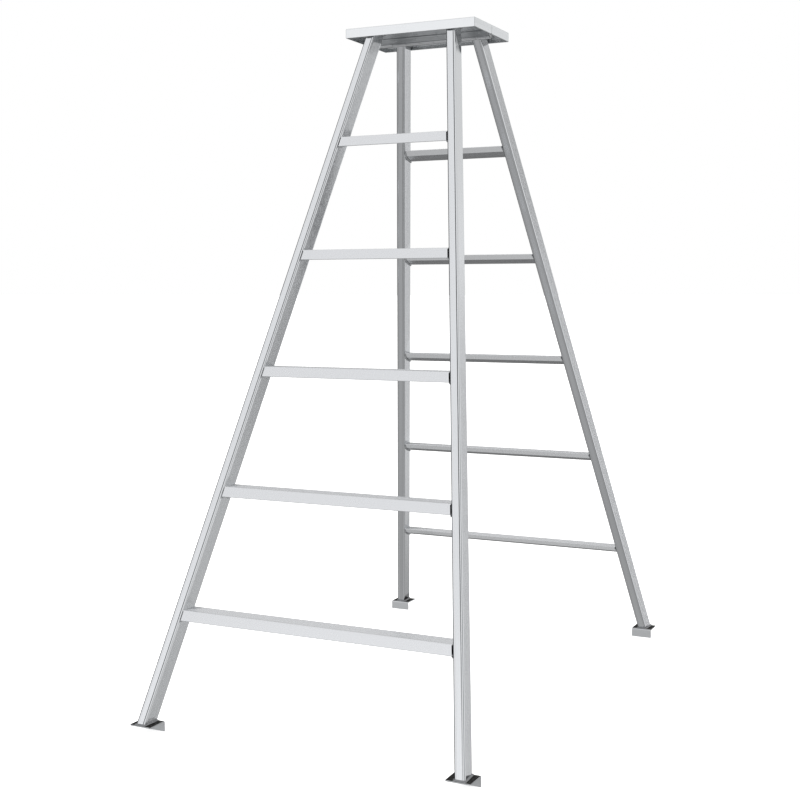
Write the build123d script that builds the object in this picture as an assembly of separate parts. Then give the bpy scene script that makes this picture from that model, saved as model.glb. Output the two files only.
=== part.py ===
from build123d import *
import math
import os

# Double-sided orchard ladder with a two-part platform that folds about a hinge under its seam.
# All lengths are in millimetres. +Z is up, +X is across the treads, -Y is the front side.
# The origin lies on the ground, midway between the four feet.

# Overall sizes
total_height = 1800.0
deck_width = 378.0
deck_depth = 242.0
seam_y = -4.0

# Deck planks: hollow boards with a skirt all round
plank_thickness = 14.0
skirt_height = 25.0
skirt_wall = 3.0
plank_wall = 2.0
plank_chambers = 5
seam_gap = 0.6
deck_edge_radius = 2.5
deck_corner_radius = 2.4

# Rails: rectangular tubes with raised corner beads and fine ribs on the flanks
rail_width = 26.0
rail_depth = 46.0
rail_wall = 2.4
rail_corner_radius = 4.0
rail_top_x = 116.5
rail_foot_x = 428.0
rail_deck_setback = 9.0
rail_foot_y = 757.0
corner_bead_width = 4.4
face_recess = 1.0
recess_slope_run = 2.0
flank_rib_pitch = 3.2
flank_rib_margin = 5.0
flank_groove_width = 1.4
flank_groove_depth = 0.6

# Treads: hollow boards with a level top and a front flush with the rails
tread_count = 5
tread_height = 27.0
tread_wall = 2.2
tread_nose_radius = 1.6
tread_crease_in = 15.0
tread_crease_rise = 12.0
tread_belly_in = 14.0
tread_belly_rise = 4.4
tread_groove_pitch = 4.0
tread_groove_margin = 5.0
tread_groove_width = 1.6
tread_groove_depth = 0.6
tread_end_slot = 2.4
tread_end_slot_lip = 2.6
tread_end_slot_depth = 2.4

# Feet: angle plates with a blade that bites into the soil
foot_plate_top = 26.5
foot_thickness = 3.0
foot_inboard = 33.0
foot_outboard = 28.0
foot_outer_overhang = 4.4
foot_inner_overhang = 7.4
foot_bend_radius = 4.0
foot_corner_radius = 3.0

# Weld beads
tread_bead_radius = 3.2
tread_bead_start = 3.0
tread_bead_setback = 1.0
foot_bead_radius = 3.4
deck_bead_radius = 3.0

# Piano hinge
leaf_thickness = 2.2
leaf_top_clearance = 0.5
barrel_clearance = 0.6
notch_clearance = 0.4
hinge_end_clearance = 4.0
knuckle_count = 9
knuckle_gap = 0.4
pin_radius = 2.5
pin_running_clearance = 0.05
pin_overrun = 2.0
pin_head_radius = 3.6
pin_head_length = 1.5
pin_head_chamfer = 0.5
rivet_count = 6
rivet_shank_radius = 1.6
rivet_head_radius = 2.8
rivet_head_height = 1.2
rivet_tail_recess = 0.3

# Working room: blocks that cut reach this far, and run this far past the faces they cut
far = 3000.0
overcut = 1.0

# Sizes that follow from those above
tread_pitch = total_height / (tread_count + 1)
plank_bottom = total_height - plank_thickness
skirt_bottom = total_height - skirt_height
rail_top_y = deck_depth / 2 - rail_deck_setback
rail_rise = plank_bottom - foot_plate_top
lean_slope = (rail_foot_y - rail_top_y) / rail_rise
splay_slope = (rail_foot_x - rail_top_x) / rail_rise
lean = math.atan(lean_slope)
level_rail_depth = rail_depth / math.cos(lean)
foot_length = foot_outer_overhang + level_rail_depth + foot_inner_overhang
barrel_radius = seam_gap / 2 + skirt_wall + leaf_thickness
axis_z = skirt_bottom - barrel_clearance - barrel_radius
hinge_length = deck_width - 2 * hinge_end_clearance
knuckle_pitch = hinge_length / knuckle_count
end_plate_inside = deck_width / 2 - skirt_wall


def rail_front_y(z):
    """Y of the front frame's outer plane at a height."""
    return -(rail_top_y + (plank_bottom - z) * lean_slope)


def rail_centre_x(z):
    """X of the middle of the right rail's outer face at a height."""
    return rail_top_x + (plank_bottom - z) * splay_slope


def rail_plane(z):
    """Plane across the front right rail: x inboard, y to the rail's back, z down the rail."""
    down = Vector(splay_slope, -lean_slope, -1.0).normalized()
    normal = Vector(0, math.cos(lean), -math.sin(lean))
    inboard = normal.cross(down)
    return Plane(origin=(rail_centre_x(z), rail_front_y(z), z), x_dir=inboard, z_dir=down)


def block(low, high):
    """Box between two opposite corners."""
    size = [h - l for l, h in zip(low, high)]
    centre = [(h + l) / 2 for l, h in zip(low, high)]
    return Pos(*centre) * Box(*size)


def to_rear(shape):
    """The same piece on the rear side of the ladder."""
    return Rot(0, 0, 180) * shape


def both_sides(shape):
    """A right-hand piece with its left-hand twin."""
    return [shape, mirror(shape, about=Plane.YZ)]


# Rails

def rail_outline(inset=0.0):
    """Rounded outline of the rail, with its outer face on the local x axis."""
    width = rail_width - 2 * inset
    depth = rail_depth - 2 * inset
    radius = rail_corner_radius / 2 if inset else rail_corner_radius
    return Pos(0, rail_depth / 2) * RectangleRounded(width, depth, radius)


def rail_skin():
    """Rail outline with both faces recessed between the corner beads."""
    wide = rail_width / 2 - corner_bead_width
    narrow = wide - recess_slope_run
    points = [(-wide, 0), (-narrow, face_recess), (narrow, face_recess), (wide, 0)]
    recess = make_face(Polyline(*points, close=True))
    return rail_outline() - recess - Pos(0, rail_depth) * mirror(recess, about=Plane.XZ)


def flank_grooves():
    """Outlines of the fine grooves between the ribs of both flanks."""
    cuts = Sketch()
    count = int((rail_depth - 2 * flank_rib_margin) / flank_rib_pitch) + 1
    start = (rail_depth - (count - 1) * flank_rib_pitch) / 2
    for k in range(count):
        for x in (-rail_width / 2, rail_width / 2):
            spot = Pos(x, start + k * flank_rib_pitch)
            cuts += spot * Rectangle(2 * flank_groove_depth, flank_groove_width)
    return cuts


def cut_to_height(section):
    """Rail section swept down its line and cut level under the deck and on the foot plate."""
    plane = rail_plane(plank_bottom)
    overrun = rail_depth
    length = rail_rise * math.sqrt(1 + lean_slope ** 2 + splay_slope ** 2) + 2 * overrun
    start = plane.offset(-overrun)
    bar = extrude(start * section, amount=length, dir=plane.z_dir)
    return bar & block((-far, -far, foot_plate_top), (far, far, plank_bottom))


def rail():
    """Front right rail."""
    return cut_to_height(rail_skin() - rail_outline(rail_wall) - flank_grooves())


def rail_block():
    """Plain bar that fills the front right rail."""
    return cut_to_height(rail_skin())


# Treads

def tread_points():
    """Corners of the tread outline in Y and Z, measured from the top front edge."""
    crease = tread_crease_rise - tread_height
    belly = tread_belly_rise - tread_height
    return [(0, 0), (level_rail_depth, 0), (level_rail_depth - tread_crease_in, crease),
            (tread_belly_in, belly), (-lean_slope * tread_height, -tread_height)]


def tread_outlines(z):
    """Outer and inner outlines of the hollow tread at its height, on the ladder's middle plane."""
    y0 = rail_front_y(z)
    points = [(y0 + u, z + v) for u, v in tread_points()]
    outer = make_face(Polyline(*points, close=True))
    inner = offset(outer, amount=-tread_wall, kind=Kind.INTERSECTION)
    nose = outer.vertices().sort_by_distance(points[0])[0]
    toe = outer.vertices().sort_by_distance(points[-1])[0]
    return Plane.YZ * fillet([nose, toe], tread_nose_radius), Plane.YZ * inner


def tread_grooves(z):
    """Grip grooves along the level top of one tread."""
    count = int((level_rail_depth - 2 * tread_groove_margin) / tread_groove_pitch) + 1
    start = rail_front_y(z) + (level_rail_depth - (count - 1) * tread_groove_pitch) / 2
    cuts = []
    for k in range(count):
        y = start + k * tread_groove_pitch
        low = (-far, y - tread_groove_width / 2, z - tread_groove_depth)
        high = (far, y + tread_groove_width / 2, z + tread_groove_depth)
        cuts.append(block(low, high))
    return cuts


def outside_rail():
    """Everything from the right rail's inboard flank outwards."""
    half = rail_width / 2
    return rail_plane(plank_bottom).location * block((-far, -far, -far), (half, far, far))


def end_slot(z):
    """Narrow slot that ends the tread's front wall short of the rail."""
    half = rail_width / 2
    plane = rail_plane(z)
    low = (half - overcut, -overcut, tread_end_slot_lip)
    high = (half + tread_end_slot, tread_end_slot_depth, tread_height / math.cos(lean) + overcut)
    return plane.location * block(low, high)


def tread_bar(z):
    """Plain bar that fills the tread outline, longer than needed."""
    return extrude(tread_outlines(z)[0], amount=far / 2, both=True)


def tread(z):
    """Front tread whose top lies at a height."""
    outer, inner = tread_outlines(z)
    bar = extrude(outer - inner, amount=far / 2, both=True)
    bar = bar - tread_grooves(z)
    bar = bar - both_sides(outside_rail())
    return bar - both_sides(end_slot(z))


# Weld beads

def rod(start, end, radius):
    """Round bar between two points, with a ball at each end."""
    axis = Vector(*end) - Vector(*start)
    plane = Plane(origin=start, z_dir=axis)
    bar = extrude(plane * Circle(radius), amount=axis.length)
    return [bar, Pos(*start) * Sphere(radius), Pos(*end) * Sphere(radius)]


def flank_point(y, z):
    """Point on the right rail's inboard flank at a given Y and Z."""
    plane = rail_plane(z)
    corner = plane.origin + plane.x_dir * (rail_width / 2)
    side = plane.x_dir
    x = corner.X - (side.Y * (y - corner.Y) + side.Z * (z - corner.Z)) / side.X
    return (x, y, z)


def joined(pieces):
    """All pieces as one solid."""
    whole = pieces[0]
    return whole.fuse(*pieces[1:])


def tread_bead(z):
    """Bead round the back and belly of a front tread where it meets the right rail."""
    y0 = rail_front_y(z)
    path = tread_points()[1:]
    path[0] = (path[0][0] - tread_bead_start, -tread_bead_start)
    corners = [flank_point(y0 + u, z + v) for u, v in path]
    pieces = []
    for start, end in zip(corners, corners[1:]):
        pieces += rod(start, end, tread_bead_radius)
    low = (-far, -far, z - tread_height - tread_bead_radius)
    bead = joined(pieces) & block(low, (far, far, z))
    return bead - outside_rail() - tread_bar(z) - ahead_of_beads()


def ahead_of_beads():
    """Everything in front of the plane where the tread beads stop, just behind the rail's face."""
    plane = rail_plane(plank_bottom)
    return plane.location * block((-far, -far, -far), (far, tread_bead_setback, far))


def rail_outline_corners(z):
    """Corners of the right rail's level cross-section."""
    plane = rail_plane(z)
    normal = plane.z_dir
    corners = []
    for x, y in ((-1, 0), (1, 0), (1, 1), (-1, 1)):
        point = plane.origin + plane.x_dir * (x * rail_width / 2) + plane.y_dir * (y * rail_depth)
        point = point - normal * ((point.Z - z) / normal.Z)
        corners.append((point.X, point.Y, point.Z))
    return corners


def rail_end_bead(z, radius, low, high):
    """Bead round the right rail's cut end, kept between two heights."""
    corners = rail_outline_corners(z)
    pieces = []
    for k, start in enumerate(corners):
        pieces += rod(start, corners[(k + 1) % len(corners)], radius)
    ring = joined(pieces) & block((-far, -far, low), (far, far, high))
    return ring - rail_block()


def foot_bead():
    """Bead between the right rail and its foot plate."""
    bead = rail_end_bead(foot_plate_top, foot_bead_radius, foot_plate_top, far)
    return bead & foot_footprint()


def deck_bead():
    """Bead between the right rail and the underside of the deck plank."""
    return rail_end_bead(plank_bottom, deck_bead_radius, 0.0, plank_bottom)


# Feet

def foot_limits():
    """Low and high corners of the front right foot plate in X and Y."""
    x = rail_centre_x(foot_plate_top)
    y = rail_front_y(foot_plate_top) - foot_outer_overhang
    return (x - foot_inboard, y), (x + foot_outboard, y + foot_length)


def foot_footprint():
    """Column that rises from the foot plate's outline."""
    low, high = foot_limits()
    return block((low[0], low[1], 0), (high[0], high[1], far))


def foot():
    """Front right foot: a level plate with a blade down its inner edge."""
    low, high = foot_limits()
    top = foot_plate_top
    under = top - foot_thickness
    web = high[1] - foot_thickness
    points = [(low[1], top), (high[1], top), (high[1], 0), (web, 0), (web, under), (low[1], under)]
    face = Plane.YZ * make_face(Polyline(*points, close=True))
    outer = face.vertices().sort_by_distance((0, high[1], top))[0]
    face = fillet([outer], foot_bend_radius)
    inner = face.vertices().sort_by_distance((0, web, under))[0]
    face = fillet([inner], foot_bend_radius - foot_thickness)
    angle = Pos(low[0], 0, 0) * extrude(face, amount=high[0] - low[0])
    free = angle.edges().filter_by(Axis.Z).group_by(Axis.Y)[0]
    return fillet(free, foot_corner_radius)


# Deck

def plank_points(near, far_edge):
    """Outline of a plank with its two hanging skirts, from seam edge to outer edge in Y."""
    sign = 1 if far_edge > near else -1
    inner = near + sign * skirt_wall
    outer = far_edge - sign * skirt_wall
    return [(near, skirt_bottom), (near, total_height), (far_edge, total_height),
            (far_edge, skirt_bottom), (outer, skirt_bottom), (outer, plank_bottom),
            (inner, plank_bottom), (inner, skirt_bottom)]


def plank_section(near, far_edge):
    """Cross-section of the hollow plank."""
    face = Plane.YZ * make_face(Polyline(*plank_points(near, far_edge), close=True))
    edge = face.vertices().sort_by_distance((0, far_edge, total_height))[0]
    face = fillet([edge], deck_edge_radius)
    low = min(near, far_edge) + skirt_wall
    high = max(near, far_edge) - skirt_wall
    pitch = (high - low + plank_wall) / plank_chambers
    for k in range(plank_chambers):
        start = low + k * pitch
        size = (pitch - plank_wall, plank_thickness - 2 * plank_wall)
        centre = (start + size[0] / 2, plank_bottom + plank_thickness / 2)
        face = face - Plane.YZ * Pos(*centre) * RectangleRounded(*size, plank_wall / 2)
    return face


def deck_grooves(near, far_edge):
    """Grip grooves along the top of one plank."""
    low = min(near, far_edge) + 2 * tread_groove_margin
    high = max(near, far_edge) - 2 * tread_groove_margin
    count = int((high - low) / (2 * tread_groove_pitch)) + 1
    start = (low + high - (count - 1) * 2 * tread_groove_pitch) / 2
    cuts = []
    for k in range(count):
        y = start + k * 2 * tread_groove_pitch
        bottom = (-far, y - tread_groove_width / 2, total_height - tread_groove_depth)
        top = (far, y + tread_groove_width / 2, total_height + tread_groove_depth)
        cuts.append(block(bottom, top))
    return cuts


def deck_plank(near, far_edge):
    """Hollow deck plank between its end plates."""
    plank = extrude(plank_section(near, far_edge), amount=end_plate_inside, both=True)
    return plank - deck_grooves(near, far_edge)


def end_plates(near, far_edge):
    """Plates that close both ends of a plank."""
    low = min(near, far_edge)
    high = max(near, far_edge)
    plate = block((end_plate_inside, low, skirt_bottom), (deck_width / 2, high, total_height))
    outer = plate.edges().filter_by(Axis.Z).sort_by_distance((deck_width / 2, far_edge, 0))[0]
    plate = fillet([outer], deck_corner_radius)
    return both_sides(plate)


# Hinge

def knuckle_span(k):
    """Start and end in X of one hinge knuckle."""
    start = -hinge_length / 2 + k * knuckle_pitch
    return start + knuckle_gap / 2, start + knuckle_pitch - knuckle_gap / 2


def hinge_leaf(side, first):
    """Leaf on one side of the seam (-1 front, 1 rear) with every other knuckle."""
    outer = seam_y + side * barrel_radius
    inner = outer - side * leaf_thickness
    low_y, high_y = min(outer, inner), max(outer, inner)
    half = hinge_length / 2
    relief = barrel_radius + notch_clearance
    top = plank_bottom - leaf_top_clearance
    leaf = block((-half, low_y, axis_z), (half, high_y, top))
    leaf -= extrude(Plane.YZ * Pos(seam_y, axis_z) * Circle(relief), amount=hinge_length, both=True)
    pieces = []
    for k in range(first, knuckle_count, 2):
        start, end = knuckle_span(k)
        pieces.append(block((start, low_y, axis_z), (end, high_y, axis_z + relief)))
        barrel = Plane.YZ * Pos(seam_y, axis_z) * Circle(barrel_radius)
        pieces.append(Pos(start, 0, 0) * extrude(barrel, amount=end - start))
    leaf = leaf.fuse(*pieces)
    bore = Plane.YZ * Pos(seam_y, axis_z) * Circle(pin_radius + pin_running_clearance)
    return leaf - extrude(bore, amount=hinge_length, both=True)


def hinge_pin():
    """Pin through all the knuckles with a head at each end."""
    half = hinge_length / 2 + pin_overrun
    shaft = extrude(Plane.YZ * Pos(seam_y, axis_z) * Circle(pin_radius), amount=half, both=True)
    head = extrude(Plane.YZ * Pos(seam_y, axis_z) * Circle(pin_head_radius), amount=pin_head_length)
    head = chamfer(head.edges().group_by(Axis.X)[-1], pin_head_chamfer)
    right = Pos(half - pin_head_length, 0, 0) * head
    return joined([shaft] + both_sides(right))


def rivet_places(side):
    """Centres of the rivets on a leaf's outer face."""
    pitch = hinge_length / rivet_count
    z = (axis_z + barrel_radius + notch_clearance + plank_bottom - leaf_top_clearance) / 2
    y = seam_y + side * barrel_radius
    return [(-hinge_length / 2 + (k + 0.5) * pitch, y, z) for k in range(rivet_count)]


def rivet(place, side):
    """One domed rivet through a leaf and its skirt."""
    plane = Plane(origin=place, z_dir=(0, side, 0))
    reach = leaf_thickness + skirt_wall - rivet_tail_recess
    ball = (rivet_head_radius ** 2 + rivet_head_height ** 2) / (2 * rivet_head_height)
    dome = plane.location * Pos(0, 0, rivet_head_height - ball) * Sphere(ball)
    cap = plane.location * Pos(0, 0, ball) * Box(4 * ball, 4 * ball, 2 * ball)
    shank = extrude(plane * Circle(rivet_shank_radius), amount=-reach)
    return joined([dome & cap, shank])


def rivet_holes(side):
    """Bars that cut the rivet holes."""
    bars = []
    reach = leaf_thickness + skirt_wall + overcut
    for place in rivet_places(side):
        hole = Plane(origin=place, z_dir=(0, side, 0)) * Circle(rivet_shank_radius)
        bars.append(extrude(hole, amount=reach, both=True))
    return bars


# Assembly

def write(name, shapes):
    """Save one node, given as a shape or a list of shapes."""
    solids = []
    for shape in shapes if isinstance(shapes, list) else [shapes]:
        solids += shape.solids()
    export_step(Compound(children=solids), f"parts/{name}.step")


def frame_pieces():
    """Pieces of the front frame by name, which the rear frame repeats turned about Z."""
    right_rail, left_rail = both_sides(rail())
    right_foot, left_foot = both_sides(foot())
    heights = [tread_pitch * (k + 1) for k in range(tread_count)]
    pieces = {"rail_right": right_rail, "rail_left": left_rail}
    pieces.update({"foot_right": right_foot, "foot_left": left_foot})
    for k, z in enumerate(heights):
        pieces[f"tread_{k + 1}"] = tread(z)
    lowest = tread_bead(heights[0])
    beads = []
    for z in heights:
        rise = z - heights[0]
        step = (-rise * splay_slope, rise * lean_slope, rise)
        beads += both_sides(Pos(*step) * lowest)
    pieces["tread_welds"] = beads
    pieces["foot_welds"] = both_sides(foot_bead())
    pieces["deck_welds"] = both_sides(deck_bead())
    return pieces


def deck_pieces(side, first_knuckle):
    """Deck plank, end plates, hinge leaf and rivets of one side of the seam."""
    near = seam_y + side * seam_gap / 2
    far_edge = side * deck_depth / 2
    holes = rivet_holes(side)
    plank = deck_plank(near, far_edge) - holes
    leaf = hinge_leaf(side, first_knuckle) - holes
    rivets = [rivet(place, side) for place in rivet_places(side)]
    return {"deck": plank, "deck_end_plates": end_plates(near, far_edge),
            "hinge_leaf": leaf, "hinge_rivets": rivets}


def main():
    """Build and save every piece."""
    os.makedirs("parts", exist_ok=True)
    frame = frame_pieces()
    swap = {"right": "left", "left": "right"}
    for name, shape in frame.items():
        write("front_" + name, shape)
        head, _, tail = name.rpartition("_")
        rear_name = f"{head}_{swap.get(tail, tail)}"
        turned = [to_rear(s) for s in shape] if isinstance(shape, list) else to_rear(shape)
        write("rear_" + rear_name, turned)
    for name, shape in deck_pieces(-1, 0).items():
        write("front_" + name, shape)
    for name, shape in deck_pieces(1, 1).items():
        write("rear_" + name, shape)
    write("hinge_pin", hinge_pin())


main()
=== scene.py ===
import math

import bmesh
import bpy
from mathutils import Matrix, Vector, noise


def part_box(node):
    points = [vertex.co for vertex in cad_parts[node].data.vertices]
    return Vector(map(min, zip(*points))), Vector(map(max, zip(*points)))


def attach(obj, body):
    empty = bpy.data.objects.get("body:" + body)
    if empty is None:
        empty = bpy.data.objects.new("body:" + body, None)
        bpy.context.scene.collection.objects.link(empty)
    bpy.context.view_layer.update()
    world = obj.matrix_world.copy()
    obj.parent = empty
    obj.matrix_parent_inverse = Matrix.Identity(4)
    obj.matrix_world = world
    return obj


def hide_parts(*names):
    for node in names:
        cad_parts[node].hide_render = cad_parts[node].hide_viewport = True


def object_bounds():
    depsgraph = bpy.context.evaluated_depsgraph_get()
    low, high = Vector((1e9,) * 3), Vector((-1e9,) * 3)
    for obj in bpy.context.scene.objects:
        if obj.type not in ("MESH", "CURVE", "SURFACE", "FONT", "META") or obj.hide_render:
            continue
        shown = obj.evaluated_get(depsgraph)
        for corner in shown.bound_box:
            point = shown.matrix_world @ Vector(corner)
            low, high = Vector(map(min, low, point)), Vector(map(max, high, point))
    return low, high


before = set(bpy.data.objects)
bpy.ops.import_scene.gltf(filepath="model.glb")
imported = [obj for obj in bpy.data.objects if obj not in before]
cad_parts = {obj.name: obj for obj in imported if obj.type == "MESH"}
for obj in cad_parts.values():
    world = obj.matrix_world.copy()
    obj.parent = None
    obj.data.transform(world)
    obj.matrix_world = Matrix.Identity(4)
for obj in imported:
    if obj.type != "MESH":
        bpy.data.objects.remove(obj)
cadLow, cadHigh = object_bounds()
print("frame loaded:", len(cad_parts), "cad pieces")

mm = 0.001
sides = {"front": -1, "rear": 1}
hands = {"left": -1, "right": 1}
treadNumbers = range(1, 6)
mergeDistance = 0.004 * mm   # points closer than this are one point
levelSlack = 0.05 * mm      # how far a point of a level cut may lie off its height


def nodePoints(node):
    return [v.co.copy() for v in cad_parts[node].data.vertices]


def ringCentre(points, level):
    # middle of the cut end that lies at this height
    ring = [p for p in points if abs(p.z - level) < levelSlack]
    return Vector([(min(p[i] for p in ring) + max(p[i] for p in ring)) / 2 for i in range(3)])


def railLine(side, hand):
    # axes of a rail: down its length, back into the ladder, and inboard
    points = nodePoints(f"{side}_rail_{hand}")
    low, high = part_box(f"{side}_rail_{hand}")
    top = ringCentre(points, high.z)
    bottom = ringCentre(points, low.z)
    down = (bottom - top).normalized()
    back = Vector((1, 0, 0)).cross(down).normalized()
    if back.y * sides[side] > 0:
        back = -back
    inboard = back.cross(down).normalized()
    if inboard.x * hands[hand] > 0:
        inboard = -inboard
    return {"top": top, "down": down, "back": back, "inboard": inboard, "low": low.z, "high": high.z}


def slideToHeight(point, direction, z):
    return point + direction * ((z - point.z) / direction.z)


def roundedOutline(corners, radii, steps=4, inserts=None):
    # closed outline in which each corner is turned by an arc of its own radius;
    # inserts holds the points to add behind a corner's arc, by the corner's number
    made = []
    count = len(corners)
    for k, corner in enumerate(corners):
        here = Vector(corner)
        before = (Vector(corners[k - 1]) - here).normalized()
        after = (Vector(corners[(k + 1) % count]) - here).normalized()
        radius = radii[k] if isinstance(radii, (list, tuple)) else radii
        half = before.angle(after) / 2
        reach = radius / math.tan(half)
        start, end = here + before * reach, here + after * reach
        centre = here + (before + after).normalized() * (radius / math.sin(half))
        a, b = start - centre, end - centre
        turn = math.atan2(a.x * b.y - a.y * b.x, a.dot(b))
        for j in range(steps + 1):
            t = turn * j / steps
            c, s = math.cos(t), math.sin(t)
            made.append((centre.x + a.x * c - a.y * s, centre.y + a.x * s + a.y * c))
        made += (inserts or {}).get(k, [])
    return made


def finishMesh(name, bm, sharpAngle=28):
    bmesh.ops.remove_doubles(bm, verts=bm.verts, dist=mergeDistance)
    bmesh.ops.recalc_face_normals(bm, faces=bm.faces)
    limit = math.radians(sharpAngle)
    for edge in bm.edges:
        if len(edge.link_faces) == 2:
            edge.smooth = edge.calc_face_angle(0) < limit
    for face in bm.faces:
        face.smooth = True
    mesh = bpy.data.meshes.new(name)
    bm.to_mesh(mesh)
    bm.free()
    obj = bpy.data.objects.new(name, mesh)
    bpy.context.scene.collection.objects.link(obj)
    return obj


def keepFlatsFlat(obj):
    # large faces keep their own normals, so only the small roundings shade softly
    weighted = obj.modifiers.new("weightedNormals", "WEIGHTED_NORMAL")
    weighted.keep_sharp = True
    return obj


def addExtrusion(bm, loops, placeStart, placeEnd):
    # walls along the piece from closed outlines, the first outside and the rest round
    # its hollows, and both ends
    grain = bm.loops.layers.uv.get("grain") or bm.loops.layers.uv.new("grain")
    startEdges, endEdges = [], []
    for loop in loops:
        starts = [bm.verts.new(placeStart(p)) for p in loop]
        ends = [bm.verts.new(placeEnd(p)) for p in loop]
        around = 0.0
        count = len(loop)
        for k in range(count):
            n = (k + 1) % count
            step = (Vector(loop[n]) - Vector(loop[k])).length
            face = bm.faces.new((starts[k], starts[n], ends[n], ends[k]))
            length = (ends[k].co - starts[k].co).length
            values = ((around, 0), (around + step, 0), (around + step, length), (around, length))
            for corner, value in zip(face.loops, values):
                corner[grain].uv = value
            around += step
        startEdges += [bm.edges.get((starts[k], starts[(k + 1) % count])) for k in range(count)]
        endEdges += [bm.edges.get((ends[k], ends[(k + 1) % count])) for k in range(count)]
    for edges in (startEdges, endEdges):
        made = bmesh.ops.triangle_fill(bm, edges=edges, use_beauty=True, use_dissolve=False)
        for item in made["geom"]:
            if isinstance(item, bmesh.types.BMFace):
                for corner in item.loops:
                    corner[grain].uv = (corner.vert.co.x, corner.vert.co.y)


def dress(obj, body, nodes, material):
    obj.data.materials.append(material)
    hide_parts(*nodes)
    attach(obj, body)
    return obj


def linearColour(hexCode):
    values = [int(hexCode[i:i + 2], 16) / 255 for i in (0, 2, 4)]
    return [v / 12.92 if v <= 0.04045 else ((v + 0.055) / 1.055) ** 2.4 for v in values] + [1.0]


def addNode(tree, kind, settings=None, values=None, links=None):
    # settings are the node's own options, values its unlinked sockets, links its sockets fed by others
    node = tree.nodes.new(kind)
    for key, value in (settings or {}).items():
        setattr(node, key, value)
    for key, value in (values or {}).items():
        node.inputs[key].default_value = value
    for key, source in (links or {}).items():
        tree.links.new(source, node.inputs[key])
    return node


def newMaterial(name):
    material = bpy.data.materials.new(name)
    material.use_nodes = True
    material.node_tree.nodes.clear()
    return material, material.node_tree


def setRamp(ramp, stops):
    elements = ramp.color_ramp.elements
    while len(elements) > len(stops):
        elements.remove(elements[-1])
    while len(elements) < len(stops):
        elements.new(0.5)
    for element, (position, colour) in zip(elements, stops):
        element.position = position
        element.color = colour if isinstance(colour, (list, tuple)) else (colour, colour, colour, 1)
    return ramp


aluminiumSpec = {
    # fine lines that the die leaves, really 0.2 mm apart, drawn coarser to show
    "dieLineMm": 1.1,
    # changes in those lines over each metre of length
    "dieLineDrift": 0.6,
    # width of the faint bands of lighter and darker metal along the profile, and how far they run
    "streakMm": 7.0,
    "streakLengthMm": 900,
    # size of the handling rubs
    "scuffMm": 26.0,
    # etched grain, drawn at five times its size
    "grainMm": 0.6,
    # how far the roughness goes below and above its value, and what the rubs add
    "duller": 0.04,
    "shinier": 0.03,
    "rubDulling": 0.09,
}


def aluminium(name, light, dark, roughness, dieLines=1.0, rubs=0.5, bump=0.004, spec=aluminiumSpec):
    # extruded aluminium, etched and satin anodised: a soft silver with lines along the profile and pale rubs
    material, tree = newMaterial(name)
    grain = addNode(tree, "ShaderNodeUVMap", {"uv_map": "grain"})
    place = addNode(tree, "ShaderNodeTexCoord")
    linesAt = addNode(tree, "ShaderNodeMapping", values={
        "Scale": (1 / (spec["dieLineMm"] * mm), spec["dieLineDrift"], 1)},
        links={"Vector": grain.outputs[0]})
    lines = addNode(tree, "ShaderNodeTexNoise", values={"Scale": 1.0, "Detail": 2.0, "Roughness": 0.6},
                    links={"Vector": linesAt.outputs[0]})
    bandsAt = addNode(tree, "ShaderNodeMapping", values={
        "Scale": (1 / (spec["streakMm"] * mm), 1 / (spec["streakLengthMm"] * mm), 1)},
        links={"Vector": grain.outputs[0]})
    bands = addNode(tree, "ShaderNodeTexNoise", values={"Scale": 1.0, "Detail": 3.0, "Roughness": 0.55},
                    links={"Vector": bandsAt.outputs[0]})
    rubsOn = addNode(tree, "ShaderNodeTexNoise", values={
        "Scale": 1 / (spec["scuffMm"] * mm), "Detail": 5.0, "Roughness": 0.62, "Distortion": 0.6},
        links={"Vector": place.outputs["Object"]})
    rubMask = setRamp(addNode(tree, "ShaderNodeValToRGB", links={"Fac": rubsOn.outputs["Fac"]}),
                      [(0.52, 0.0), (0.72, 1.0)])
    fine = addNode(tree, "ShaderNodeTexNoise", values={
        "Scale": 1 / (spec["grainMm"] * mm), "Detail": 2.0, "Roughness": 0.5},
        links={"Vector": place.outputs["Object"]})
    tone = setRamp(addNode(tree, "ShaderNodeValToRGB", links={"Fac": bands.outputs["Fac"]}),
                   [(0.32, linearColour(dark)), (0.66, linearColour(light))])
    worn = addNode(tree, "ShaderNodeMix", {"data_type": "RGBA", "blend_type": "SCREEN"},
                   links={0: rubMask.outputs["Color"], 6: tone.outputs["Color"]})
    worn.inputs[7].default_value = (0.05 * rubs, 0.05 * rubs, 0.052 * rubs, 1)
    shine = addNode(tree, "ShaderNodeMapRange", values={
        "From Min": 0.3, "From Max": 0.7,
        "To Min": roughness - spec["shinier"], "To Max": roughness + spec["duller"]},
        links={"Value": bands.outputs["Fac"]})
    shineWorn = addNode(tree, "ShaderNodeMath", {"operation": "MULTIPLY_ADD"},
                        values={1: spec["rubDulling"] * rubs},
                        links={0: rubMask.outputs["Color"], 2: shine.outputs[0]})
    relief = addNode(tree, "ShaderNodeMath", {"operation": "MULTIPLY_ADD"}, values={1: dieLines},
                     links={0: lines.outputs["Fac"], 2: fine.outputs["Fac"]})
    bumped = addNode(tree, "ShaderNodeBump", values={"Strength": 0.5, "Distance": bump * mm},
                     links={"Height": relief.outputs[0]})
    shader = addNode(tree, "ShaderNodeBsdfPrincipled", values={"Metallic": 1.0}, links={
        "Base Color": worn.outputs[2], "Roughness": shineWorn.outputs[0], "Normal": bumped.outputs[0]})
    addNode(tree, "ShaderNodeOutputMaterial", links={"Surface": shader.outputs[0]})
    return material


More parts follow.
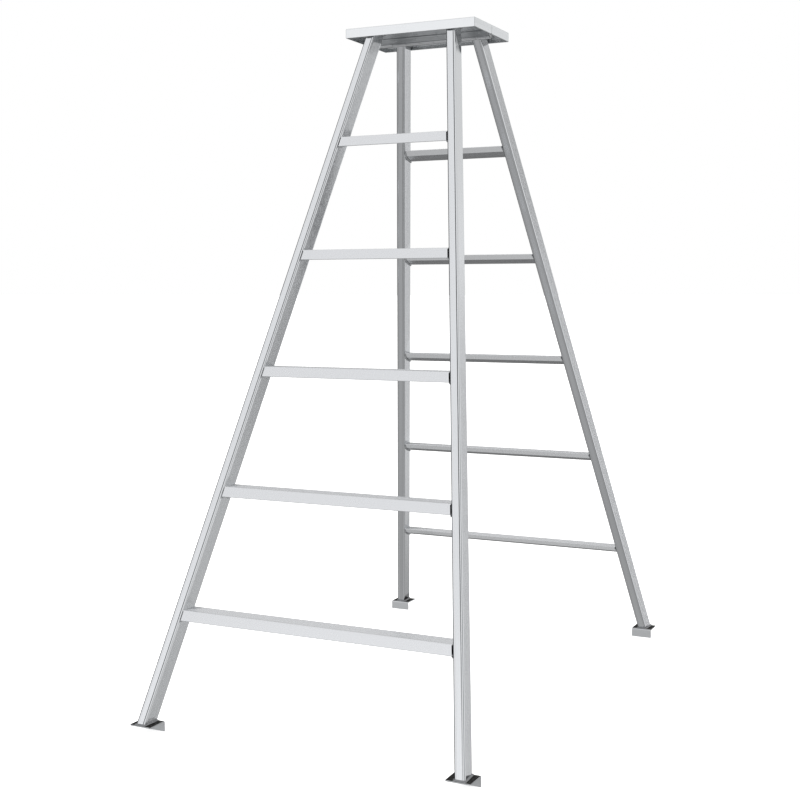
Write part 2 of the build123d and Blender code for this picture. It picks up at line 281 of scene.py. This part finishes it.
railMetal = aluminium("anodisedRailAluminium", "d8dadc", "ccced0", 0.10)
treadMetal = aluminium("anodisedTreadAluminium", "d8dadc", "cecfd1", 0.26, dieLines=0.4)
deckMetal = aluminium("anodisedDeckAluminium", "dadcdd", "d0d2d4", 0.24, dieLines=0.4)
plateMetal = aluminium("brushedPlateAluminium", "d6d8da", "cccfd0", 0.22, dieLines=0.5)
footMetal = aluminium("sawnAngleAluminium", "c9cbcc", "b6b8ba", 0.34, rubs=1.0, bump=0.03)
hingeMetal = aluminium("rolledHingeAluminium", "cacccd", "babcbe", 0.36)
sootMetal = aluminium("sootedWeldAluminium", "a6a7a9", "6e6f71", 0.42, dieLines=0.0, rubs=0.8, bump=0.08)
weldMetal = aluminium("bareWeldAluminium", "c2c4c6", "a2a4a6", 0.42, dieLines=0.0, rubs=0.8, bump=0.08)
rivetMetal = aluminium("pressedRivetAluminium", "cfd1d3", "bfc1c3", 0.34)
pinMetal = aluminium("drawnPinSteel", "b0b0b0", "9a9a9a", 0.30)


# painted shade on the feet's level tops: sizes of its patches and grit, its relief and roughness, its two
# near-black tones, and where it begins
topShadeSpec = {
    "lumpMm": 9, "gritMm": 0.8, "reliefMm": 0.15, "roughness": 0.8,
    "dark": "141413", "light": "2b2a28",
    # how level a face is where the painted shade begins, and where it covers fully (upward part of its
    # normal)
    "begins": 0.93, "full": 0.98,
}


def paintShadeOnTop(material, spec=topShadeSpec):
    # painted shade: the level top is painted dull and nearly black, as the dark reflection it shows, and the
    # sawn edges stay bright metal
    tree = material.node_tree
    metal = next(n for n in tree.nodes if n.bl_idname == "ShaderNodeBsdfPrincipled")
    out = next(n for n in tree.nodes if n.bl_idname == "ShaderNodeOutputMaterial")
    place = addNode(tree, "ShaderNodeTexCoord")
    lumps = addNode(tree, "ShaderNodeTexNoise", values={
        "Scale": 1 / (spec["lumpMm"] * mm), "Detail": 4.0, "Roughness": 0.6},
        links={"Vector": place.outputs["Object"]})
    grit = addNode(tree, "ShaderNodeTexNoise", values={
        "Scale": 1 / (spec["gritMm"] * mm), "Detail": 2.0}, links={"Vector": place.outputs["Object"]})
    facing = addNode(tree, "ShaderNodeNewGeometry")
    upward = addNode(tree, "ShaderNodeSeparateXYZ", links={0: facing.outputs["Normal"]})
    level = addNode(tree, "ShaderNodeMapRange", values={
        "From Min": spec["begins"], "From Max": spec["full"], "To Min": 0.0, "To Max": 1.0},
        links={"Value": upward.outputs["Z"]})
    patchy = addNode(tree, "ShaderNodeMapRange", values={
        "From Min": 0.28, "From Max": 0.45, "To Min": 0.7, "To Max": 1.0},
        links={"Value": lumps.outputs["Fac"]})
    shadeCover = addNode(tree, "ShaderNodeMath", {"operation": "MULTIPLY"},
                    links={0: level.outputs[0], 1: patchy.outputs[0]})
    tone = setRamp(addNode(tree, "ShaderNodeValToRGB", links={"Fac": grit.outputs["Fac"]}),
                   [(0.3, linearColour(spec["dark"])), (0.75, linearColour(spec["light"]))])
    raised = addNode(tree, "ShaderNodeBump", values={"Strength": 0.6, "Distance": spec["reliefMm"] * mm},
                     links={"Height": grit.outputs["Fac"]})
    # the dull near-black shader that paints the shade on the level top
    topShadeShader = addNode(tree, "ShaderNodeBsdfPrincipled",
                   values={"Roughness": spec["roughness"], "Specular IOR Level": 0.25},
                   links={"Base Color": tone.outputs["Color"], "Normal": raised.outputs[0]})
    both = addNode(tree, "ShaderNodeMixShader", links={
        0: shadeCover.outputs[0], 1: metal.outputs[0], 2: topShadeShader.outputs[0]})
    tree.links.new(both.outputs[0], out.inputs["Surface"])


# the feet's level tops get painted shade, nearly black
paintShadeOnTop(footMetal)
print("materials made")


railSpec = {
    "width": 26, "depth": 46, "wall": 2.4,
    "cornerRadius": 4.0, "beadWidth": 4.4, "slopeRun": 2.6, "faceRecess": 0.75, "easeRadius": 0.5,
    "flutePitch": 3.3, "fluteCount": 4, "fluteShare": 0.8, "fluteDepth": 0.14,
    "ribPitch": 3.2, "ribMargin": 5.0, "ribGrooveWidth": 1.5, "ribGrooveDepth": 0.6,
    "cornerSteps": 5, "hollowSteps": 3,
}
# grooves in section, in shares of their width and depth: those of the rails, and those for grip;
# fluteShare is a flute's width in shares of its pitch
fluteSection = ((-0.5, 0), (-0.25, 0.8), (0, 1), (0.25, 0.8), (0.5, 0))
gripSection = ((-0.5, 0), (-0.3, 0.75), (0, 1), (0.3, 0.75), (0.5, 0))


def grooveRow(start, end, middles, width, depth):
    # shallow grooves cut to the left of the way from start to end, at these distances along it
    direction = (Vector(end) - Vector(start)).normalized()
    inward = Vector((-direction.y, direction.x))
    made = []
    for middle in middles:
        for along, deep in fluteSection:
            point = Vector(start) + direction * (middle + along * width) + inward * (deep * depth)
            made.append(tuple(point))
    return made


def centredRow(span, pitch, count):
    # places at an even pitch, with the same margin at both ends of the span
    first = (span - (count - 1) * pitch) / 2
    return [first + k * pitch for k in range(count)]


def railLoops(spec):
    # the rail's section: beaded and fluted faces at the front and back, ribbed flanks, one hollow
    half, depth = spec["width"] / 2, spec["depth"]
    bead, slope, recess = spec["beadWidth"], spec["slopeRun"], spec["faceRecess"]
    corners, radii, inserts = [], [], {}
    for sign in (1, -1):
        # one face: corner, bead, slope down to the recessed middle, slope up, bead, corner
        level, low = (0, recess) if sign > 0 else (depth, depth - recess)
        run = [-half, -half + bead, -half + bead + slope, half - bead - slope, half - bead, half]
        heights = [level, level, low, low, level, level]
        first = len(corners)
        corners += [(sign * x, y) for x, y in zip(run, heights)]
        radii += [spec["cornerRadius"]] + [spec["easeRadius"]] * 4 + [spec["cornerRadius"]]
        middle = centredRow(2 * (half - bead - slope), spec["flutePitch"], spec["fluteCount"])
        inserts[first + 2] = grooveRow(corners[first + 2], corners[first + 3], middle,
                                       spec["flutePitch"] * spec["fluteShare"], spec["fluteDepth"])
        count = int((depth - 2 * spec["ribMargin"]) / spec["ribPitch"]) + 1
        along = centredRow(depth, spec["ribPitch"], count)
        flankEnd = (sign * half, depth - level)
        inserts[first + 5] = grooveRow((sign * half, level), flankEnd, along,
                                       spec["ribGrooveWidth"], spec["ribGrooveDepth"])
    outer = roundedOutline(corners, radii, spec["cornerSteps"], inserts)
    wall = spec["wall"]
    hollow = [(-half + wall, wall), (half - wall, wall), (half - wall, depth - wall),
              (-half + wall, depth - wall)]
    inner = roundedOutline(hollow, spec["cornerRadius"] - wall / 2, spec["hollowSteps"])
    return [outer, inner]


def railPoint(line, u, v):
    # point of the rail's cross-section through its top centre, in mm from the middle of its outer face
    middle = line["top"] - line["back"] * (railSpec["depth"] / 2 * mm)
    return middle + line["inboard"] * (u * mm) + line["back"] * (v * mm)


railLines = {(side, hand): railLine(side, hand) for side in sides for hand in hands}


def makeRail(side, hand):
    line = railLines[side, hand]
    bm = bmesh.new()

    def at(level):
        return lambda p: slideToHeight(railPoint(line, p[0], p[1]), line["down"], level)

    addExtrusion(bm, railLoops(railSpec), at(line["high"]), at(line["low"]))
    node = f"{side}_rail_{hand}"
    rail = keepFlatsFlat(finishMesh(f"{node}_profile", bm))
    return dress(rail, f"{side}_frame", [node], railMetal)


for side in sides:
    for hand in hands:
        makeRail(side, hand)
print("rails made")


treadSpec = {
    "creaseIn": 15, "creaseRise": 12, "bellyIn": 14, "bellyRise": 4.4, "wall": 2.2,
    "noseRadius": 1.6, "edgeRadius": 0.9, "creaseRadius": 2.5, "gripPitch": 4, "gripMargin": 5,
    "gripWidth": 1.7, "gripDepth": 0.7, "hollowRadius": 0.8, "arcSteps": 4,
    # the slot behind the nosing's lip at each end: its lip and width, the height over which it
    # opens, how far below the lip it begins, and how far past the wall it reaches
    "slotLip": 2.6, "slotWidth": 2.4, "slotFall": 0.15, "slotBelow": 0.1, "slotReach": 0.4,
}


def xOnFlank(line, y, z):
    # where the inboard flank of a rail lies at this depth and height
    point, normal = railPoint(line, railSpec["width"] / 2, 0), line["inboard"]
    return point.x - (normal.y * (y - point.y) + normal.z * (z - point.z)) / normal.x


def yOnFace(line, z, v=0):
    # where the rail's outer face lies at this height, or the plane that is v mm behind it
    point, normal = railPoint(line, 0, v), line["back"]
    return point.y - normal.z * (z - point.z) / normal.y


def treadCorners(side, top, bottom):
    # corners in how far behind the front face at the top they lie, and their height, all in mm
    line = railLines[side, "right"]
    inward = -sides[side]
    front = yOnFace(line, top)
    depth = abs(yOnFace(line, top, railSpec["depth"]) - front) / mm
    height = (top - bottom) / mm
    toe = (yOnFace(line, bottom) - front) * inward / mm
    spec = treadSpec
    return [(0, 0), (depth, 0), (depth - spec["creaseIn"], spec["creaseRise"] - height),
            (spec["bellyIn"], spec["bellyRise"] - height), (toe, -height)]


def nosingSlant(corners):
    # how far the nosing runs inwards for each mm of height
    return corners[4][0] / corners[4][1]


def insetCorners(corners, wall):
    # the same outline moved inwards by the wall
    made = []
    count = len(corners)
    turning = sum(corners[k - 1][0] * corners[k][1] - corners[k][0] * corners[k - 1][1]
                  for k in range(count))
    sign = 1 if turning > 0 else -1
    for k in range(count):
        a, b, c = (Vector(corners[(k + j) % count]) for j in (-1, 0, 1))
        first, second = (b - a).normalized(), (c - b).normalized()
        n1 = Vector((-first.y, first.x)) * sign
        n2 = Vector((-second.y, second.x)) * sign
        made.append(tuple(b + (n1 + n2) * (wall / (1 + n1.dot(n2)))))
    return made


def gripGrooves(span, spec):
    # rounded grooves along a level top, from its edge at 0 to the other
    count = int((span - 2 * spec["gripMargin"]) / spec["gripPitch"]) + 1
    made = []
    for middle in centredRow(span, spec["gripPitch"], count):
        for along, deep in gripSection:
            made.append((middle + along * spec["gripWidth"], -deep * spec["gripDepth"]))
    return made


def treadLoops(corners, spec):
    # the board's section: grooved top behind the nosing, creased belly, one hollow
    nose, crease = spec["noseRadius"], spec["creaseRadius"]
    radii = [nose, spec["edgeRadius"], crease, crease, nose]
    grooves = gripGrooves(corners[1][0], spec)
    outer = roundedOutline(corners, radii, spec["arcSteps"], {0: grooves})
    slant = nosingSlant(corners)
    lip, fallen = -spec["slotLip"], -spec["slotLip"] - spec["slotFall"]
    outer += [(slant * fallen, fallen), (slant * lip, lip)]
    inner = roundedOutline(insetCorners(corners, spec["wall"]), spec["hollowRadius"], 2)
    return [outer, inner]


def makeTread(side, number):
    node = f"{side}_tread_{number}"
    low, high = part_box(node)
    spec = treadSpec
    corners = treadCorners(side, high.z, low.z)
    loops = treadLoops(corners, spec)
    inward = -sides[side]
    slant = nosingSlant(corners)
    slotTop = -spec["slotLip"] - spec["slotBelow"]
    slotBack = spec["wall"] + spec["slotReach"]

    def at(hand):
        line = railLines[side, hand]
        front = yOnFace(line, high.z)

        def place(p):
            y, z = front + inward * p[0] * mm, high.z + p[1] * mm
            x = xOnFlank(line, y, z)
            ahead = p[0] - slant * p[1]
            if p[1] < slotTop and ahead < slotBack:
                x -= hands[hand] * spec["slotWidth"] * mm
            return Vector((x, y, z))
        return place

    bm = bmesh.new()
    addExtrusion(bm, loops, at("left"), at("right"))
    tread = keepFlatsFlat(finishMesh(f"{node}_board", bm))
    return dress(tread, f"{side}_frame", [node], treadMetal)


for side in sides:
    for number in treadNumbers:
        makeTread(side, number)
print("treads made")


deckSpec = {
    "plank": 14, "skirtWall": 3, "plankWall": 2, "chambers": 5, "edgeRadius": 2.5, "lipRadius": 0.8,
    "innerRadius": 1.2, "chamberRadius": 1.0, "arcSteps": 4,
    "gripPitch": 8, "gripMargin": 10, "gripWidth": 1.7, "gripDepth": 0.7,
    "plateCorner": 2.2, "plateBevel": 0.9, "plateNotch": 3.4, "leastRadius": 0.3,
}


def deckLoops(span, height, spec):
    # outline from the seam edge at 0 to the outer edge at span, with a skirt hanging at both
    wall, under = spec["skirtWall"], -spec["plank"]
    corners = [(0, -height), (0, 0), (span, 0), (span, -height), (span - wall, -height),
               (span - wall, under), (wall, under), (wall, -height)]
    lip, edge, inside = spec["lipRadius"], spec["edgeRadius"], spec["innerRadius"]
    radii = [lip, edge, edge, lip, lip, inside, inside, lip]
    loops = [roundedOutline(corners, radii, spec["arcSteps"], {1: gripGrooves(span, spec)})]
    pitch = (span - 2 * wall + spec["plankWall"]) / spec["chambers"]
    for k in range(spec["chambers"]):
        a = wall + k * pitch
        b = a + pitch - spec["plankWall"]
        top, bottom = -spec["plankWall"], under + spec["plankWall"]
        chamber = [(a, bottom), (b, bottom), (b, top), (a, top)]
        loops.append(roundedOutline(chamber, spec["chamberRadius"], 2))
    return loops


def makeDeck(side):
    node = f"{side}_deck"
    low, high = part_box(node)
    sign = sides[side]
    seam = low.y if sign > 0 else high.y
    outerEdge = high.y if sign > 0 else low.y
    span = abs(outerEdge - seam) / mm
    height = (high.z - low.z) / mm

    def at(x):
        return lambda p: Vector((x, seam + sign * p[0] * mm, high.z + p[1] * mm))

    bm = bmesh.new()
    addExtrusion(bm, deckLoops(span, height, deckSpec), at(low.x), at(high.x))
    deck = keepFlatsFlat(finishMesh(f"{node}_plank", bm))
    return dress(deck, f"{side}_frame", [node], deckMetal)


def makeEndPlates(side):
    node = f"{side}_deck_end_plates"
    low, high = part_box(node)
    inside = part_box(f"{side}_deck")[1].x
    spec = deckSpec
    bm = bmesh.new()
    notch, lip, bevel = spec["plateNotch"], spec["lipRadius"], spec["plateBevel"]
    near, far, bottom, top = (value / mm for value in (low.y, high.y, low.z, high.z))
    corners = [(near, bottom), (far, bottom), (far, top), (near, top)]
    # the corners at the seam are rounded more, so that the halves show a nick where they meet
    seamIsFar = sides[side] < 0
    outer = spec["plateCorner"]
    radii = [lip, notch, notch, outer] if seamIsFar else [notch, lip, outer, notch]
    outline = roundedOutline(corners, radii, spec["arcSteps"])
    smaller = [max(radius - bevel, spec["leastRadius"]) for radius in radii]
    shrunk = roundedOutline(insetCorners(corners, bevel), smaller, spec["arcSteps"])
    for hand in hands.values():
        rings = []
        for x, loop in ((inside, outline), (high.x - bevel * mm, outline), (high.x, shrunk)):
            rings.append([bm.verts.new((hand * x, p[0] * mm, p[1] * mm)) for p in loop])
        count = len(outline)
        for a, b in zip(rings, rings[1:]):
            for k in range(count):
                bm.faces.new((a[k], a[(k + 1) % count], b[(k + 1) % count], b[k]))
        bm.faces.new(rings[0])
        bm.faces.new(rings[-1])
    grain = bm.loops.layers.uv.new("grain")
    for face in bm.faces:
        for corner in face.loops:
            corner[grain].uv = (corner.vert.co.z, corner.vert.co.y)
    plates = keepFlatsFlat(finishMesh(f"{node}_pair", bm))
    return dress(plates, f"{side}_frame", [node], plateMetal)


for side in sides:
    makeDeck(side)
    makeEndPlates(side)
print("deck made")


footSpec = {"thickness": 3, "bend": 4, "planCorner": 3, "edge": 0.5, "arcSteps": 5}


def makeFoot(side, hand):
    # a sawn angle: a level plate under the rail with its free corners cut round,
    # and a blade down its inner edge
    node = f"{side}_foot_{hand}"
    low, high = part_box(node)
    spec = footSpec
    reach, height = (high.y - low.y) / mm, (high.z - low.z) / mm
    thick, edge, corner, bend = (spec[key] for key in ("thickness", "edge", "planCorner", "bend"))
    corners = [(0, 0), (reach, 0), (reach, -height), (reach - thick, -height),
               (reach - thick, -thick), (0, -thick)]
    # extra points where the plate's corner curves in plan, and none inside the outline's own rounding
    steps = spec["arcSteps"]
    curve = [corner * (1 - math.cos(math.radians(90 / steps * k))) for k in range(2, steps + 1)]
    inserts = {0: [(d, 0) for d in curve], 4: [(d, -thick) for d in reversed(curve)]}
    outline = roundedOutline(corners, [edge, bend, edge, edge, bend - thick, edge], steps, inserts)
    start = low.y if side == "front" else high.y

    def at(x, outward):
        def place(p):
            short = max(corner - max(p[0], 0), 0)
            pulled = corner - math.sqrt(corner ** 2 - short ** 2)
            return Vector((x - outward * pulled * mm, start - sides[side] * p[0] * mm, high.z + p[1] * mm))
        return place

    bm = bmesh.new()
    addExtrusion(bm, [outline], at(low.x, -1), at(high.x, 1))
    foot = keepFlatsFlat(finishMesh(f"{node}_angle", bm))
    return dress(foot, f"{side}_frame", [node], footMetal)


for side in sides:
    for hand in hands:
        makeFoot(side, hand)
print("feet made")


weldSpec = {
    "grid": 0.55, "ripplePitch": 1.9, "rippleHeight": 0.28, "lumpSize": 6, "lumpHeight": 0.22,
    # how much height counts in a ripple's phase, how much the lumps shift it, and the ripple's mean
    "phaseUp": 0.6, "phaseShift": 0.5, "rippleMean": 0.64, "sharpAngle": 70,
}


def makeWelds(node, metal):
    # the beads are laid drop by drop, so their skin is a row of overlapping scales
    spec = weldSpec
    rough = bpy.data.objects.new("roughBead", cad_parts[node].data.copy())
    bpy.context.scene.collection.objects.link(rough)
    grid = rough.modifiers.new("grid", "REMESH")
    grid.mode = "VOXEL"
    grid.voxel_size = spec["grid"] * mm
    bpy.context.view_layer.update()
    mesh = bpy.data.meshes.new_from_object(rough.evaluated_get(bpy.context.evaluated_depsgraph_get()))
    bpy.data.objects.remove(rough)
    bm = bmesh.new()
    bm.from_mesh(mesh)
    bpy.data.meshes.remove(mesh)
    bm.normal_update()
    moves = []
    for vert in bm.verts:
        phase = (vert.co.x + vert.co.y + spec["phaseUp"] * vert.co.z) / (spec["ripplePitch"] * mm)
        lump = noise.noise(vert.co / (spec["lumpSize"] * mm))
        scale = abs(math.sin(math.pi * (phase + spec["phaseShift"] * lump))) - spec["rippleMean"]
        moves.append(vert.normal * ((scale * spec["rippleHeight"] + lump * spec["lumpHeight"]) * mm))
    for vert, move in zip(bm.verts, moves):
        vert.co += move
    beads = finishMesh(f"{node}_beads", bm, spec["sharpAngle"])
    return dress(beads, f"{node.split('_')[0]}_frame", [node], metal)


for side in sides:
    makeWelds(f"{side}_tread_welds", weldMetal)
    makeWelds(f"{side}_foot_welds", sootMetal)
    makeWelds(f"{side}_deck_welds", weldMetal)
print("welds made")


hingeSpec = {
    "leaf": 2.2, "leafEdge": 0.35, "knuckles": 9, "gap": 0.4, "lip": 0.35, "pin": 2.5, "bore": 2.55,
    "clearance": 0.4, "neckInset": 0.1, "neck": 1.1, "reliefSteps": 5,
    "pinHead": 3.6, "pinHeadLength": 1.5, "pinChamfer": 0.5, "steps": 32,
}
rivetSpec = {"count": 6, "head": 2.8, "rise": 1.2, "shank": 1.6, "grip": 4.9, "steps": 28, "domeSteps": 6}
pinLow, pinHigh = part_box("hinge_pin")
hingeAxis = (pinLow + pinHigh) / 2


def addTurned(bm, profile, place, steps):
    # a turned piece from (radius, distance) pairs; place turns distance, across and up into a point
    rings = []
    for radius, along in profile:
        turn = [2 * math.pi * k / steps for k in range(steps)] if radius else [0]
        rings.append([bm.verts.new(place(along, radius * math.cos(t), radius * math.sin(t))) for t in turn])
    for a, b in zip(rings, rings[1:]):
        for k in range(steps):
            n = (k + 1) % steps
            corners = [a[k % len(a)], a[n % len(a)], b[n % len(b)], b[k % len(b)]]
            bm.faces.new(list(dict.fromkeys(corners)))


def alongHinge(distance, across, up):
    return hingeAxis + Vector((distance, across, up)) * mm


def makeLeaf(side, first):
    # a strip on the skirt, with every other knuckle rolled from it round the pin
    node = f"{side}_hinge_leaf"
    low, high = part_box(node)
    spec = hingeSpec
    sign = sides[side]
    radius = max(high.y - hingeAxis.y, hingeAxis.y - low.y) / mm
    top = (high.z - hingeAxis.z) / mm
    half = (high.x - low.x) / mm / 2
    pitch = 2 * half / spec["knuckles"]
    edge = spec["leafEdge"]
    inner, outer = radius - spec["leaf"], radius

    def at(x):
        return lambda p: alongHinge(x, sign * p[0], p[1])

    bm = bmesh.new()
    relief = radius + spec["clearance"]
    hollow = [math.acos(inner / relief), math.acos(outer / relief)]
    steps = spec["reliefSteps"]
    curve = [hollow[0] + (hollow[1] - hollow[0]) * j / steps for j in range(steps + 1)]
    strip = [(relief * math.cos(t), relief * math.sin(t)) for t in curve]
    strip += [(outer, top - edge), (outer - edge, top), (inner + edge, top), (inner, top - edge)]
    addExtrusion(bm, [strip], at(-half), at(half))
    lip = spec["lip"]
    for k in range(first, spec["knuckles"], 2):
        start = -half + k * pitch + spec["gap"] / 2
        end = start + pitch - spec["gap"]
        near, far = inner + spec["neckInset"], inner + spec["neck"]
        tab = [(near, radius / 2), (far, radius / 2), (far, relief), (near, relief)]
        addExtrusion(bm, [tab], at(start + lip), at(end - lip))
        bore = spec["bore"]
        barrel = [(bore, start + lip), (radius - lip, start), (radius, start + lip),
                  (radius, end - lip), (radius - lip, end), (bore, end - lip), (bore, start + lip)]
        addTurned(bm, barrel, alongHinge, spec["steps"])
    leaf = keepFlatsFlat(finishMesh(f"{node}_rolled", bm))
    return dress(leaf, f"{side}_frame", [node], hingeMetal)


def makePin():
    # a plain shaft with a bevelled head at each end
    spec = hingeSpec
    half = (pinHigh.x - pinLow.x) / mm / 2
    inside, bevel = half - spec["pinHeadLength"], spec["pinChamfer"]
    right = [(spec["pin"], inside), (spec["pinHead"], inside), (spec["pinHead"], half - bevel),
             (spec["pinHead"] - bevel, half), (0, half)]
    left = [(radius, -along) for radius, along in reversed(right)]
    bm = bmesh.new()
    addTurned(bm, left + right, alongHinge, spec["steps"])
    pin = finishMesh("hinge_pin_headed", bm)
    return dress(pin, "front_frame", ["hinge_pin"], pinMetal)


def makeRivets(side):
    # domed heads on the leaf, with their shanks through the leaf and the skirt
    node = f"{side}_hinge_rivets"
    low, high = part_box(node)
    spec = rivetSpec
    sign = sides[side]
    face = low.y if sign < 0 else high.y
    height = (low.z + high.z) / 2
    span = high.x - low.x - 2 * spec["head"] * mm
    rise, head = spec["rise"], spec["head"]
    ball = (head ** 2 + rise ** 2) / (2 * rise)
    widest = math.asin(head / ball)
    turns = [widest * (1 - k / spec["domeSteps"]) for k in range(spec["domeSteps"])]
    dome = [(ball * math.sin(t), ball * math.cos(t) - ball + rise) for t in turns] + [(0, rise)]
    profile = [(0, -spec["grip"]), (spec["shank"], -spec["grip"]), (spec["shank"], 0)] + dome
    bm = bmesh.new()
    for k in range(spec["count"]):
        x = low.x + spec["head"] * mm + span * k / (spec["count"] - 1)

        def place(along, across, up):
            return Vector((x + across * mm, face + sign * (along - rise) * mm, height + up * mm))

        addTurned(bm, profile, place, spec["steps"])
    rivets = finishMesh(f"{node}_domed", bm)
    return dress(rivets, f"{side}_frame", [node], rivetMetal)


makeLeaf("front", 0)
makeLeaf("rear", 1)
makePin()
for side in sides:
    makeRivets(side)
print("hinge made")


# the paper under the ladder: its size in metres, its two tones and its own faint light
floorSpec = {
    "radius": 400, "segments": 96, "dark": "f2f2f1", "light": "f6f6f5",
    "speckScale": 6.0, "glow": 0.75,
}


def makeFloor():
    spec = floorSpec
    bm = bmesh.new()
    bmesh.ops.create_circle(bm, cap_ends=True, radius=spec["radius"], segments=spec["segments"])
    bm.transform(Matrix.Translation((0, 0, cadLow.z)))
    mesh = bpy.data.meshes.new("studioFloor")
    bm.to_mesh(mesh)
    bm.free()
    floor = bpy.data.objects.new("studioFloor", mesh)
    bpy.context.scene.collection.objects.link(floor)
    material, tree = newMaterial("paleSweepPaper")
    speck = addNode(tree, "ShaderNodeTexNoise", values={"Scale": spec["speckScale"], "Detail": 3.0})
    tone = setRamp(addNode(tree, "ShaderNodeValToRGB", links={"Fac": speck.outputs["Fac"]}),
                   [(0.3, linearColour(spec["dark"])), (0.7, linearColour(spec["light"]))])
    shader = addNode(tree, "ShaderNodeBsdfPrincipled", values={
        "Roughness": 0.95, "Specular IOR Level": 0.1,
        "Emission Color": (1, 1, 1, 1), "Emission Strength": spec["glow"]},
        links={"Base Color": tone.outputs["Color"]})
    addNode(tree, "ShaderNodeOutputMaterial", links={"Surface": shader.outputs[0]})
    mesh.materials.append(material)
    floor.visible_glossy = False
    floor.visible_diffuse = False


# brightness of the studio from straight below, at 0, to straight above, at 1
studioRamp = [(0.0, 0.80), (0.05, 0.70), (0.13, 0.42), (0.33, 0.42), (0.44, 0.66), (0.50, 0.74),
              (0.62, 0.90), (1.0, 0.90)]
# round patches of the studio, each with where it is (degrees clockwise from the back, degrees up),
# how wide it is in degrees (full inside inner, gone outside outer), and its tone; later ones lie on top
studioPatches = [
    {"azimuth": 212, "elevation": 25, "inner": 38, "outer": 52, "tone": 1.10},
    {"azimuth": 202, "elevation": -30, "inner": 12, "outer": 22, "tone": 0.50},
    {"azimuth": 205, "elevation": 11, "inner": 5, "outer": 14, "tone": 1.32},
    {"azimuth": 124, "elevation": 25, "inner": 12, "outer": 20, "tone": 0.20},
    {"azimuth": 115, "elevation": -28, "inner": 10, "outer": 25, "tone": 0.18},
    {"azimuth": 72, "elevation": 0, "inner": 14, "outer": 36, "tone": 1.15},
    {"azimuth": 20, "elevation": -3, "inner": 10, "outer": 17, "tone": 1.2},
    {"azimuth": 333, "elevation": -10, "inner": 12, "outer": 28, "tone": 0.23},
    {"azimuth": 334, "elevation": -38, "inner": 12, "outer": 25, "tone": 0.22},
    {"azimuth": 278, "elevation": 6, "inner": 41, "outer": 46, "tone": 0.09},
]


def makeStudio():
    world = bpy.data.worlds.new("softStudio")
    bpy.context.scene.world = world
    world.use_nodes = True
    tree = world.node_tree
    tree.nodes.clear()
    where = addNode(tree, "ShaderNodeTexCoord")
    apart = addNode(tree, "ShaderNodeSeparateXYZ", links={0: where.outputs["Generated"]})
    level = addNode(tree, "ShaderNodeMapRange", values={
        "From Min": -1.0, "From Max": 1.0, "To Min": 0.0, "To Max": 1.0}, links={0: apart.outputs["Z"]})
    ramp = addNode(tree, "ShaderNodeValToRGB", links={"Fac": level.outputs[0]})
    tone = setRamp(ramp, studioRamp).outputs["Color"]
    for patch in studioPatches:
        a, e = math.radians(patch["azimuth"]), math.radians(patch["elevation"])
        direction = (math.sin(a) * math.cos(e), math.cos(a) * math.cos(e), math.sin(e))
        near = addNode(tree, "ShaderNodeVectorMath", {"operation": "DOT_PRODUCT"},
                       values={1: direction}, links={0: where.outputs["Generated"]})
        fades, full = (math.cos(math.radians(patch[key])) for key in ("outer", "inner"))
        share = addNode(tree, "ShaderNodeMapRange", {"interpolation_type": "SMOOTHSTEP"}, values={
            "From Min": fades, "From Max": full, "To Min": 0.0, "To Max": 1.0},
            links={0: near.outputs["Value"]})
        mixed = addNode(tree, "ShaderNodeMix", {"data_type": "RGBA"}, links={0: share.outputs[0], 6: tone})
        mixed.inputs[7].default_value = (patch["tone"], patch["tone"], patch["tone"] * 1.01, 1)
        tone = mixed.outputs[2]
    studio = addNode(tree, "ShaderNodeBackground", links={"Color": tone})
    backdrop = addNode(tree, "ShaderNodeBackground", values={"Color": (1, 1, 1, 1), "Strength": 1.0})
    rays = addNode(tree, "ShaderNodeLightPath")
    both = addNode(tree, "ShaderNodeMixShader", links={
        0: rays.outputs["Is Camera Ray"], 1: studio.outputs[0], 2: backdrop.outputs[0]})
    addNode(tree, "ShaderNodeOutputWorld", links={"Surface": both.outputs[0]})


# a softbox: place, size and aim in metres, power in watts
keyLight = {"place": (-2.6, -3.4, 4.2), "size": 2.4, "power": 60, "aim": (0, 0, 0.8)}


def makeKeyLight():
    data = bpy.data.lights.new("softbox", "AREA")
    data.shape = "SQUARE"
    data.size = keyLight["size"]
    data.energy = keyLight["power"]
    light = bpy.data.objects.new("softbox", data)
    bpy.context.scene.collection.objects.link(light)
    light.location = keyLight["place"]
    light.rotation_mode = "QUATERNION"
    towards = Vector(keyLight["aim"]) - Vector(keyLight["place"])
    light.rotation_quaternion = towards.to_track_quat("-Z", "Y")
    light.visible_camera = False
    light.visible_glossy = False


# place in metres, angles in degrees, lens and film width in mm, clip distance in metres
cameraSpec = {
    "place": (1.53666, -3.33259, 1.09085), "tilt": 85.32, "turn": 25.94, "lens": 59.41,
    "film": 36, "clipEnd": 2000,
}


def makeCamera():
    data = bpy.data.cameras.new("camera")
    data.lens = cameraSpec["lens"]
    data.sensor_width = cameraSpec["film"]
    data.clip_end = cameraSpec["clipEnd"]
    camera = bpy.data.objects.new("camera", data)
    bpy.context.scene.collection.objects.link(camera)
    camera.location = cameraSpec["place"]
    camera.rotation_euler = (math.radians(cameraSpec["tilt"]), 0, math.radians(cameraSpec["turn"]))
    bpy.context.scene.camera = camera


makeFloor()
makeStudio()
makeKeyLight()
makeCamera()
bpy.context.scene.view_settings.view_transform = "Standard"
print("stage made")
